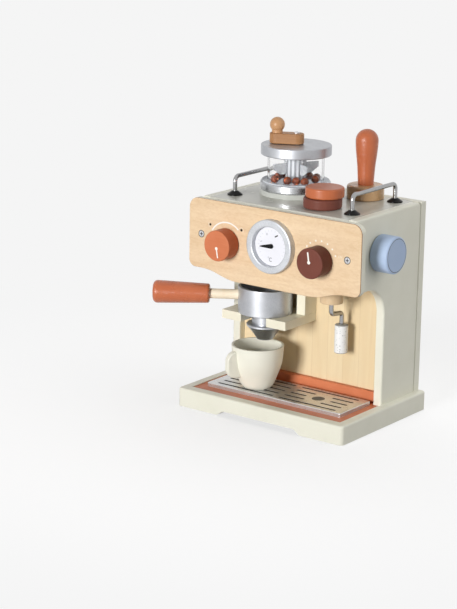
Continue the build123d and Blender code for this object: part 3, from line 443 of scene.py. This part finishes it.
paints = {
    "sagePaint": {"paint": tone(229, 227, 212), "shade": tone(221, 219, 202), "grain": 0.12, "rough": 0.36,
                  "bump": 0.12, "sheen": 0.25},
    # the sage paint, glossier and made darker: the glossier finish is real, the darker tone is painted shade
    "shadedTopPaint": {"paint": tone(200, 199, 188), "shade": tone(190, 189, 178), "grain": 0.05, "rough": 0.215,
                 "bump": 0.02, "sheen": 0.5},
    # the sage paint made darker: painted shade, as the riser stands under the silver base
    "shadedRiserPaint": {"paint": tone(194, 196, 190), "shade": tone(184, 186, 180), "grain": 0.05, "rough": 0.2,
                   "bump": 0.04, "sheen": 0.3},
    "groupCream": {"paint": tone(234, 229, 209), "shade": tone(226, 219, 196), "grain": 0.2, "rough": 0.4,
                   "bump": 0.15, "sheen": 0.25},
    "terracotta": {"paint": tone(208, 126, 89), "shade": tone(194, 110, 74), "grain": 0.45, "rough": 0.34,
                   "bump": 0.2, "sheen": 0.1},
    "turnedPaint": {"paint": tone(190, 106, 66), "shade": tone(170, 88, 52), "grain": 0.6, "rough": 0.36,
                    "bump": 0.12, "sheen": 0.4},
    "lathePaint": {"paint": tone(192, 106, 66), "shade": tone(172, 88, 52), "grain": 0.6, "rough": 0.3,
                   "bump": 0.12, "sheen": 0.45, "rings": 0.9},
    "handlePaint": {"paint": tone(196, 106, 64), "shade": tone(176, 88, 50), "grain": 0.35, "rough": 0.26,
                    "bump": 0.12, "sheen": 0.6, "rings": 1.0},
    "brownPaint": {"paint": tone(122, 73, 62), "shade": tone(102, 58, 49), "grain": 0.35, "rough": 0.34,
                   "bump": 0.2, "sheen": 0.1},
    "bluePaint": {"paint": tone(176, 194, 221), "shade": tone(164, 184, 214), "grain": 0.15, "rough": 0.38,
                  "bump": 0.15, "sheen": 0.2},
    "cupCream": {"paint": tone(234, 232, 218), "shade": tone(226, 223, 208), "grain": 0.05, "rough": 0.34,
                 "bump": 0.08, "sheen": 0.25},
    "discGrey": {"paint": tone(92, 94, 92), "shade": tone(78, 80, 79), "grain": 0.1, "rough": 0.45,
                 "bump": 0.2, "sheen": 0.25},
    "dialWhite": {"paint": tone(230, 230, 236), "shade": tone(225, 225, 231), "grain": 0.0, "rough": 0.5,
                  "bump": 0.05, "sheen": 0.25},
    "blackPlastic": {"paint": tone(10, 10, 10), "shade": tone(5, 5, 5), "grain": 0.0, "rough": 0.3,
                     "bump": 0.04, "sheen": 0.2},
}
latheMarks = (1500, 0, 0)  # rings round the length of a turned piece, repeats in a metre
whiteInk, darkInk, greyInk, ringInk = tone(242, 238, 230), tone(34, 28, 26), tone(150, 150, 156), tone(84, 86, 96)
scaleRadius, scaleTurns = 23.2, (142, 126, 105, 85, 64, 43, 22)  # the dots round the right knob
strokeSteps = (0, 2.1, 4.2)
marks = {  # in mm from the middle of a node, seen from its front; angles in degrees
    "leftScale": [
        {"kind": "arc", "at": (0, 0), "radius": 25, "width": 1.8, "aim": 98, "spread": 102, "ink": whiteInk},
        {"kind": "dot", "at": (-24.4, 19.4), "radius": 1.5, "ink": darkInk},
        {"kind": "arc", "at": (-24.4, 19.4), "radius": 2.7, "width": 0.6, "aim": 200, "spread": 150,
         "ink": whiteInk, "faint": 0.6},
        {"kind": "dot", "at": (21.5, 18.9), "radius": 1.6, "ink": darkInk},
        {"kind": "arc", "at": (21.5, 18.9), "radius": 2.9, "width": 0.6, "aim": 60, "spread": 210,
         "ink": whiteInk, "faint": 0.6},
    ],
    "rightScale": [
        {"kind": "dot", "at": (scaleRadius * cos(radians(turn)), scaleRadius * sin(radians(turn))),
         "radius": 1.15, "ink": whiteInk, "faint": 0.85}
        for turn in scaleTurns
    ] + [
        {"kind": "stroke", "from": (25.5 + step, 7.6), "to": (26.4 + step, 9.8), "width": 0.7,
         "ink": whiteInk, "faint": 0.5}
        for step in strokeSteps
    ],
    "leftPointer": [
        {"kind": "stroke", "from": (0, -3), "to": (2, -13.5), "width": 1.7, "ink": whiteInk},
        {"kind": "dot", "at": (0, -3), "radius": 1.9, "ink": whiteInk},
    ],
    "rightPointer": [
        {"kind": "stroke", "from": (-0.7, 1.3), "to": (-2.4, 12.4), "width": 1.9, "ink": whiteInk},
        {"kind": "dot", "at": (-0.7, 1.3), "radius": 2.1, "ink": whiteInk},
    ],
    "dial": [
        {"kind": "ticks", "at": (0, 0), "aim": 270, "gap": 90, "radius": 18.4, "length": 2.2, "width": 0.6,
         "count": 24.0, "ink": greyInk, "faint": 0.35},
        {"kind": "dot", "at": (-6.9, 13.4), "radius": 1.5, "ink": greyInk, "faint": 0.4},
        {"kind": "stroke", "from": (-15.6, 3.4), "to": (-13.9, 4.2), "width": 1.1, "ink": greyInk, "faint": 0.6},
        {"kind": "stroke", "from": (5.2, 11.9), "to": (8.3, 13.6), "width": 1.5, "ink": darkInk},
        {"kind": "arc", "at": (-0.6, -16.2), "radius": 2.1, "width": 0.9, "aim": 180, "spread": 260,
         "ink": greyInk},
        {"kind": "arc", "at": (-4.0, -14.0), "radius": 0.8, "width": 0.45, "aim": 0, "spread": 360,
         "ink": greyInk, "faint": 0.7},
    ],
    "sideRing": [
        {"kind": "arc", "at": (0, 0), "radius": 19.5, "width": 0.7, "aim": 0, "spread": 360, "ink": ringInk},
    ],
}
markGroups = {"dot": "dotMark", "arc": "arcMark", "stroke": "strokeMark", "ticks": "tickRing"}


def markInputs(mark, centre):  # one mark's own values for the group that draws it, in metres
    def spot(point):
        return (centre[0] + point[0] / 1000, 0, centre[1] + point[1] / 1000)

    inputs = {key.capitalize(): mark[key] / 1000 for key in ("radius", "length", "width") if key in mark}
    if "from" in mark:
        inputs |= {"Start": spot(mark["from"]), "End": spot(mark["to"])}
    else:
        inputs["Centre"] = spot(mark["at"])
    if "aim" in mark:
        inputs["Aim"] = (cos(radians(mark["aim"])), 0, sin(radians(mark["aim"])))
    if "spread" in mark:
        inputs["Reach"] = cos(radians(mark["spread"] / 2))
    if "gap" in mark:
        inputs |= {"Gap": cos(radians(mark["gap"] / 2)), "Count": mark["count"]}
    return inputs


def printed(tree, place, colour, centre, name):  # inks each mark of that name over the colour
    for mark in marks[name]:
        mask = placeGroup(tree, markGroups[mark["kind"]], {"Place": place} | markInputs(mark, centre))["Mask"]
        if "faint" in mark:
            mask = reckon(tree, "MULTIPLY", mask, mark["faint"])
        colour = blend(tree, mask, colour, mark["ink"])
    return colour


def paintSkin(tree, look, place):
    return placeGroup(tree, "paintSkin", {"Place": place, "Paint": look["paint"], "Shade": look["shade"],
                                          "Grain": look["grain"], "Roughness": look["rough"]})


def paintMaterial(name, look, turn=None):
    material, tree, surface, place = newMaterial(name, {"Specular IOR Level": look["sheen"]}, turn)
    skin = paintSkin(tree, look, place)
    normal = finish(tree, surface, skin, look["bump"])
    if "rings" in look:  # fine lathe marks draw a turned piece's highlight out along its length
        rings = noise(tree, stretched(tree, place, latheMarks), 1.0)
        emboss(tree, surface, rings, look["rings"], latheRelief, normal)
    return material


knobs = {  # a turned side starts behind the face's rim; its darker tint is painted shade, standing in for the shade the side lies in
    "leftKnobPaint": {"node": "knob_left", "paint": "terracotta", "turn": None, "marks": "leftPointer",
                      "rim": 0.0009, "paintedShadeTint": tone(232, 208, 196)},
    "rightKnobPaint": {"node": "knob_right", "paint": "brownPaint", "turn": (0, 90, 0), "marks": "rightPointer",
                       "rim": 0.0009, "paintedShadeTint": tone(222, 208, 200)},
}


def knobMaterial(name):
    knob = knobs[name]
    material, tree, surface, place = newMaterial(
        name, {"Specular IOR Level": paints[knob["paint"]]["sheen"]}, knob["turn"])
    skin = paintSkin(tree, paints[knob["paint"]], place)
    finish(tree, surface, skin, paints[knob["paint"]]["bump"])
    front = objectPlace(tree)
    face = printed(tree, front, skin["Color"], middleOf(knob["node"]), knob["marks"])
    isSide = reckon(tree, "GREATER_THAN", split(tree, front)["Y"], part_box(knob["node"])[0].y + knob["rim"])
    # painted shade: the turned side is darkened by a tint
    side = blend(tree, 1.0, skin["Color"], knob["paintedShadeTint"], "MULTIPLY")
    feed(tree, surface["Base Color"], blend(tree, isSide, face, side))
    return material


def printedMaterial(name, look, node, marksName, facing=0):  # facing turns a side face to the front for its print
    material, tree, surface, place = newMaterial(name, {"Specular IOR Level": look["sheen"]})
    skin = paintSkin(tree, look, place)
    finish(tree, surface, skin, look["bump"])
    front = objectPlace(tree)
    centre = middleOf(node)
    if facing:
        front = turned(tree, front, (0, 0, facing))
        centre = middleOf(node, 1, 2)
    feed(tree, surface["Base Color"], printed(tree, front, skin["Color"], centre, marksName))
    return material


woods = {
    "beechArm": {"pale": tone(190, 144, 101), "dark": tone(142, 96, 60), "figure": 0.95, "pores": 0.6,
                 "rough": 0.42, "sheen": 0.25},
    "beechBall": {"pale": tone(203, 158, 115), "dark": tone(172, 122, 80), "figure": 0.6, "pores": 0.5,
                  "rough": 0.36, "sheen": 0.4},
    "tamperWood": {"pale": tone(204, 168, 126), "dark": tone(166, 126, 84), "figure": 0.8, "pores": 0.4,
                   "rough": 0.25, "sheen": 0.5},
    "rodWood": {"pale": tone(252, 240, 218), "dark": tone(232, 206, 170), "figure": 0.5, "pores": 0.3,
                "rough": 0.4, "sheen": 0.4},
    "socketWood": {"pale": tone(220, 194, 158), "dark": tone(190, 156, 116), "figure": 0.5, "pores": 0.3,
                   "rough": 0.45, "sheen": 0.3},
    "beadWood": {"pale": tone(114, 50, 22), "dark": tone(54, 21, 8), "figure": 0.9, "pores": 0.2,
                 "rough": 0.1, "sheen": 0.6},
}
woodBump = 0.15


def woodSkin(tree, look, place):
    return placeGroup(tree, "woodFigure", {
        "Place": place, "Pale": look["pale"], "Dark": look["dark"], "Figure": look["figure"],
        "Mottle": look.get("mottle", 0.0), "Pores": look["pores"], "Roughness": look["rough"]})


def woodMaterial(name, turn=None):
    material, tree, surface, place = newMaterial(name, {"Specular IOR Level": woods[name]["sheen"]}, turn)
    finish(tree, surface, woodSkin(tree, woods[name], place), woodBump)
    return material


facadePly = {"pale": tone(236, 212, 180), "dark": tone(204, 168, 126), "figure": 0.55, "mottle": 0.17,
             "pores": 0.35, "rough": 0.5, "sheen": 0.15, "bump": 0.12,
             "bare": 0.0006, "edgeLineWidth": 0.0009, "edgeLineTone": tone(150, 96, 60), "edge": "sagePaint"}


def facadeMaterial():  # bare plywood in front, a thin brown line just behind its front face, and painted edges behind
    look = facadePly
    material, tree, surface, place = newMaterial("facadePly", {"Specular IOR Level": look["sheen"]})
    wood = woodSkin(tree, look, place)
    paint = paintSkin(tree, paints[look["edge"]], place)
    depth = split(tree, place)["Y"]
    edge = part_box("facade")[0].y + look["bare"]
    isEdgeLine = reckon(tree, "GREATER_THAN", depth, edge)
    isPaint = reckon(tree, "GREATER_THAN", depth, edge + look["edgeLineWidth"])
    face = printed(tree, place, wood["Color"], middleOf("knob_left"), "leftScale")
    face = printed(tree, place, face, middleOf("knob_right"), "rightScale")
    bare = blend(tree, isEdgeLine, face, look["edgeLineTone"])
    feed(tree, surface["Base Color"], blend(tree, isPaint, bare, paint["Color"]))
    feed(tree, surface["Roughness"], wood["Roughness"])
    emboss(tree, surface, wood["Height"], look["bump"], coatRelief)
    return material


wallBoards = {"pale": tone(232, 215, 181), "dark": tone(211, 183, 140), "figure": 0.5, "pores": 0.15,
              "rough": 0.5, "sheen": 0.1, "pitch": 0.0225, "offset": -0.0026, "boardTint": 0.25,
              "seam": 0.016, "seamInk": 0.45, "seamTone": tone(184, 150, 110), "grainRelief": 0.3, "bump": 0.25}


def wallMaterial():  # narrow upright boards, each a little different, with fine seams
    look = wallBoards
    material, tree, surface, place = newMaterial("wallBoards", {"Specular IOR Level": look["sheen"]})
    across = split(tree, place)["X"]
    count = reckon(tree, "DIVIDE", reckon(tree, "ADD", across, look["offset"]), look["pitch"])
    board = reckon(tree, "FLOOR", count)
    seam = reckon(tree, "LESS_THAN", reckon(tree, "FRACT", count), look["seam"])
    pick = addNode(tree, "TexWhiteNoise", {"W": board}, noise_dimensions="1D").outputs["Value"]
    shift = addNode(tree, "CombineXYZ", {"X": pick, "Y": board, "Z": pick}).outputs[0]
    shifted = reckonVector(tree, "ADD", turned(tree, place, (0, 90, 0)), shift)
    wood = woodSkin(tree, look, shifted)
    tinted = blend(tree, spread(tree, pick, 0.0, 1.0, 0.0, look["boardTint"]), wood["Color"], look["dark"])
    inked = blend(tree, reckon(tree, "MULTIPLY", seam, look["seamInk"]), tinted, look["seamTone"])
    height = reckon(tree, "SUBTRACT", reckon(tree, "MULTIPLY", wood["Height"], look["grainRelief"]), seam)
    feed(tree, surface["Base Color"], inked)
    feed(tree, surface["Roughness"], wood["Roughness"])
    emboss(tree, surface, height, look["bump"], coatRelief)
    return material


silvers = {
    "silverPaint": {"metal": tone(192, 194, 198), "shade": tone(162, 164, 169), "flake": 0.4, "rough": 0.4,
                    "bump": 0.1, "metallic": 1.0},
    "millSilver": {"metal": tone(204, 206, 209), "shade": tone(178, 180, 184), "flake": 0.4, "rough": 0.3,
                   # its inside colour is a painted glow, a painted reflection on the floor under the clear chamber
                   "bump": 0.1, "metallic": 1.0, "inside": tone(196, 198, 201)},
    "ringSilver": {"metal": tone(212, 214, 217), "shade": tone(180, 183, 188), "flake": 0.7, "rough": 0.42,
                   "bump": 0.1, "metallic": 0.6},
    "traySilver": {"metal": tone(214, 214, 213), "shade": tone(190, 190, 189), "flake": 0.12, "rough": 0.32,
                   "bump": 0.04, "metallic": 0.85, "rimWidth": 0.003, "faceDepth": 0.0003,
                   "shadow": tone(98, 94, 90)},
    "screwSteel": {"metal": tone(222, 222, 224), "shade": tone(188, 188, 191), "flake": 0.3, "rough": 0.3,
                   "bump": 0.1, "metallic": 0.6, "rimFrom": 0.72, "rimTo": 0.86, "faceDepth": 0.0003,
                   "shadow": tone(84, 80, 78)},
    "steelRod": {"metal": tone(176, 176, 176), "shade": tone(150, 150, 152), "flake": 0.1, "rough": 0.16,
                 "bump": 0.03, "metallic": 1.0},
}


def silverMaterial(name, look, shaded=None):  # shaded says where the piece lies in its own shadow
    material, tree, surface, place = newMaterial(name, {"Metallic": look["metallic"]})
    skin = placeGroup(tree, "silverSkin", {"Place": place, "Metal": look["metal"], "Shade": look["shade"],
                                           "Flake": look["flake"], "Roughness": look["rough"]})
    finish(tree, surface, skin, look["bump"], flakeRelief)
    if shaded:
        shadow = shaded(tree, split(tree, place), look)
        feed(tree, surface["Base Color"], blend(tree, shadow, skin["Color"], look["shadow"]))
    if "inside" in look:  # rays that slip past the face the clear chamber lies on find the back of this silver, which glows: a painted reflection of the silver floor
        isInside = addNode(tree, "NewGeometry").outputs["Backfacing"]
        feed(tree, surface["Emission Color"], blend(tree, isInside, (0, 0, 0, 1), look["inside"]))
        feed(tree, surface["Emission Strength"], 1.0)
    return material


def traySlots(tree, parts, look):  # painted shadow inside the tray's rim and below its face
    low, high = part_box("drip_grille")
    inside = [
        reckon(tree, "LESS_THAN", apartFrom(tree, parts[axis], (low[index] + high[index]) / 2),
               (high[index] - low[index]) / 2 - look["rimWidth"])
        for index, axis in enumerate("XY")
    ]
    sunk = reckon(tree, "LESS_THAN", parts["Z"], high.z - look["faceDepth"])
    return reckon(tree, "MULTIPLY", reckon(tree, "MULTIPLY", *inside), sunk)


def screwSinks(tree, parts, look):  # painted shadow in the countersink round each facade screw and in the cross in its head
    low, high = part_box("facade_screws")
    radius = (high.z - low.z) / 2
    sideways = reckon(tree, "SUBTRACT", reckon(tree, "ABSOLUTE", parts["X"]), high.x - radius)
    upward = reckon(tree, "SUBTRACT", parts["Z"], (high.z + low.z) / 2)
    offAxis = reckon(tree, "SQRT", reckon(tree, "ADD", reckon(tree, "MULTIPLY", sideways, sideways),
                                          reckon(tree, "MULTIPLY", upward, upward)))
    rim = spread(tree, offAxis, radius * look["rimFrom"], radius * look["rimTo"])
    return reckon(tree, "MAXIMUM", rim, reckon(tree, "GREATER_THAN", parts["Y"], low.y + look["faceDepth"]))


chamberPlastic = {"ior": 1.18, "flange": 0.004, "rimFrom": 0.7, "rimTo": 0.86, "edgeShadeTone": tone(34, 36, 38)}


def clearMaterial():  # light passes freely, so what stands inside is lit; where the wall turns away it is painted dark, painted shade for the dark lines along a clear wall's edges
    look = chamberPlastic
    material, tree, surface, place = newMaterial(
        "clearPlastic", {"Roughness": 0.0, "IOR": look["ior"], "Transmission Weight": 1.0})
    facing = addNode(tree, "LayerWeight", {"Blend": 0.5}).outputs["Facing"]
    onWall = reckon(tree, "GREATER_THAN", split(tree, place)["Z"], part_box("mill_chamber")[0].z + look["flange"])
    # painted shade along the wall where it turns away from the eye
    rim = reckon(tree, "MULTIPLY", onWall, spread(tree, facing, look["rimFrom"], look["rimTo"]))
    feed(tree, surface["Base Color"], blend(tree, rim, white, look["edgeShadeTone"]))
    shadowRay = addNode(tree, "LightPath").outputs["Is Shadow Ray"]
    feed(tree, surface["Alpha"], reckon(tree, "SUBTRACT", 1.0, shadowRay))
    return material


rotorPlastic = {"rough": 0.2, "ior": 1.4, "clear": 0.45, "hubRadius": 0.0128, "ribs": 14.0, "ribEdge": 0.8,
                "ribBump": 0.4, "ribDepth": 0.0005, "cloud": 320.0,
                "bladeDark": tone(180, 183, 187), "bladePale": tone(204, 207, 210),
                "ribShadeTone": tone(138, 141, 146), "ribHighlightTone": tone(218, 221, 225)}


def rotorMaterial():  # milky grey plastic, ribbed round the hub; the hub's light and dark stripes are painted highlight and painted shade
    look = rotorPlastic
    material, tree, surface, place = newMaterial(
        "smokePlastic", {"Roughness": look["rough"], "IOR": look["ior"], "Transmission Weight": look["clear"]})
    apart = reckonVector(tree, "SUBTRACT", place, (*middleOf("mill_rotor", 0, 1), 0))
    parts = split(tree, apart)
    angle = reckon(tree, "ARCTAN2", parts["Y"], parts["X"])
    wave = reckon(tree, "SINE", reckon(tree, "MULTIPLY", angle, look["ribs"]))
    radius = reckonVector(tree, "LENGTH", stretched(tree, apart, (1, 1, 0)))
    onHub = reckon(tree, "LESS_THAN", radius, look["hubRadius"])
    ribs = reckon(tree, "MULTIPLY", spread(tree, wave, -look["ribEdge"], look["ribEdge"]), onHub)
    cloud = spread(tree, noise(tree, place, look["cloud"]), 0.35, 0.65)
    blades = blend(tree, cloud, look["bladeDark"], look["bladePale"])
    # painted highlight and painted shade in stripes round the hub, for the reflections in its ribs
    hub = blend(tree, ribs, look["ribShadeTone"], look["ribHighlightTone"])
    feed(tree, surface["Base Color"], blend(tree, onHub, blades, hub))
    emboss(tree, surface, ribs, look["ribBump"], look["ribDepth"])
    return material


fleckedWhite = {"ground": tone(234, 234, 233), "fleck": tone(186, 187, 188), "spacing": 470.0, "size": 0.42,
                "rough": 0.4, "rim": tone(150, 150, 148), "rimDepth": 0.0011, "peel": 1200.0, "bump": 0.1}


def fleckedMaterial():  # speckled white, grey in a thin band at both ends
    look = fleckedWhite
    material, tree, surface, place = newMaterial("fleckedWhite", {"Roughness": look["rough"]})
    spots = placeGroup(tree, "flecks", {"Place": place, "Ground": look["ground"], "Fleck": look["fleck"],
                                        "Spacing": look["spacing"], "Size": look["size"]})
    low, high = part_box("steam_tip")
    offMiddle = apartFrom(tree, split(tree, place)["Z"], (low.z + high.z) / 2)
    isRim = reckon(tree, "GREATER_THAN", offMiddle, (high.z - low.z) / 2 - look["rimDepth"])
    feed(tree, surface["Base Color"], blend(tree, isRim, spots["Color"], look["rim"]))
    emboss(tree, surface, noise(tree, place, look["peel"]), look["bump"], flakeRelief)
    return material


upright = (0, 90, 0)  # turns the grain to run up a piece
handleTurn, armTurn = (0, 0, 32), (0, 0, -26)  # turns it along the handle and the crank's arm
finishes = [
    (paintMaterial("sagePaint", paints["sagePaint"]), ["base_board", "head_floor"]),
    (paintMaterial("shadedTopPaint", paints["shadedTopPaint"]), ["top_panel"]),
    (paintMaterial("shadedRiserPaint", paints["shadedRiserPaint"]), ["mill_riser"]),
    (paintMaterial("sagePaintUpright", paints["sagePaint"], upright),
     ["side_panel_left", "side_panel_right", "rear_panel"]),
    (paintMaterial("groupCream", paints["groupCream"]), ["group_fork"]),
    (paintMaterial("groupCreamUpright", paints["groupCream"], upright), ["group_cheek_left", "group_cheek_right"]),
    (facadeMaterial(), ["facade"]),
    (wallMaterial(), ["back_wall"]),
    (paintMaterial("terracotta", paints["terracotta"]), ["drip_bed", "tray_upstand"]),
    (knobMaterial("leftKnobPaint"), ["knob_left"]),
    (paintMaterial("terracottaTurned", paints["turnedPaint"], upright), ["pod_terracotta"]),
    (paintMaterial("terracottaLathe", paints["lathePaint"], upright), ["tamper_handle"]),
    (paintMaterial("handlePaint", paints["handlePaint"], handleTurn), ["portafilter_handle"]),
    (knobMaterial("rightKnobPaint"), ["knob_right"]),
    (paintMaterial("brownPaint", paints["brownPaint"], upright), ["pod_brown"]),
    (printedMaterial("sideKnobPaint", paints["bluePaint"], "knob_side", "sideRing", -90), ["knob_side"]),
    (paintMaterial("cupCream", paints["cupCream"]), ["cup"]),
    (silverMaterial("silverPaint", silvers["silverPaint"]), ["mill_lid", "portafilter_bowl", "portafilter_spout"]),
    (silverMaterial("millSilver", silvers["millSilver"]), ["mill_base"]),
    (silverMaterial("ringSilver", silvers["ringSilver"]), ["gauge_ring"]),
    (silverMaterial("traySilver", silvers["traySilver"], traySlots), ["drip_grille"]),
    (silverMaterial("facadeScrewSteel", silvers["screwSteel"], screwSinks), ["facade_screws"]),
    (silverMaterial("screwSteel", silvers["screwSteel"]),
     ["rear_screws", "base_screws", "knob_left_screw", "knob_right_screw", "knob_side_screw", "knob_washers",
      "crank_screw"]),
    (silverMaterial("steelRod", silvers["steelRod"]), ["cup_rail_left", "cup_rail_right", "steam_tube"]),
    (woodMaterial("beechArm", armTurn), ["crank_arm"]),
    (woodMaterial("beechBall", upright), ["crank_knob"]),
    (woodMaterial("tamperWood"), ["tamper_base"]),
    (woodMaterial("rodWood", handleTurn), ["portafilter_rod"]),
    (woodMaterial("socketWood", upright), ["steam_socket"]),
    (woodMaterial("beadWood"), ["mill_beads"]),
    (paintMaterial("discGrey", paints["discGrey"]), ["grille_discs"]),
    (printedMaterial("dialWhite", paints["dialWhite"], "gauge_dial", "dial"), ["gauge_dial"]),
    (paintMaterial("blackPlastic", paints["blackPlastic"]), ["rail_feet", "gauge_needle", "gauge_pin"]),
    (fleckedMaterial(), ["steam_tip"]),
    (clearMaterial(), ["mill_chamber"]),
    (rotorMaterial(), ["mill_rotor"]),
]
for material, names in finishes:
    for name in names:
        for materialSlot in nodes[name].material_slots:
            materialSlot.material = material
dressed = {name for material, names in finishes for name in names}
print("materials on", len(dressed), "nodes; left over:", sorted(set(nodes) - dressed))
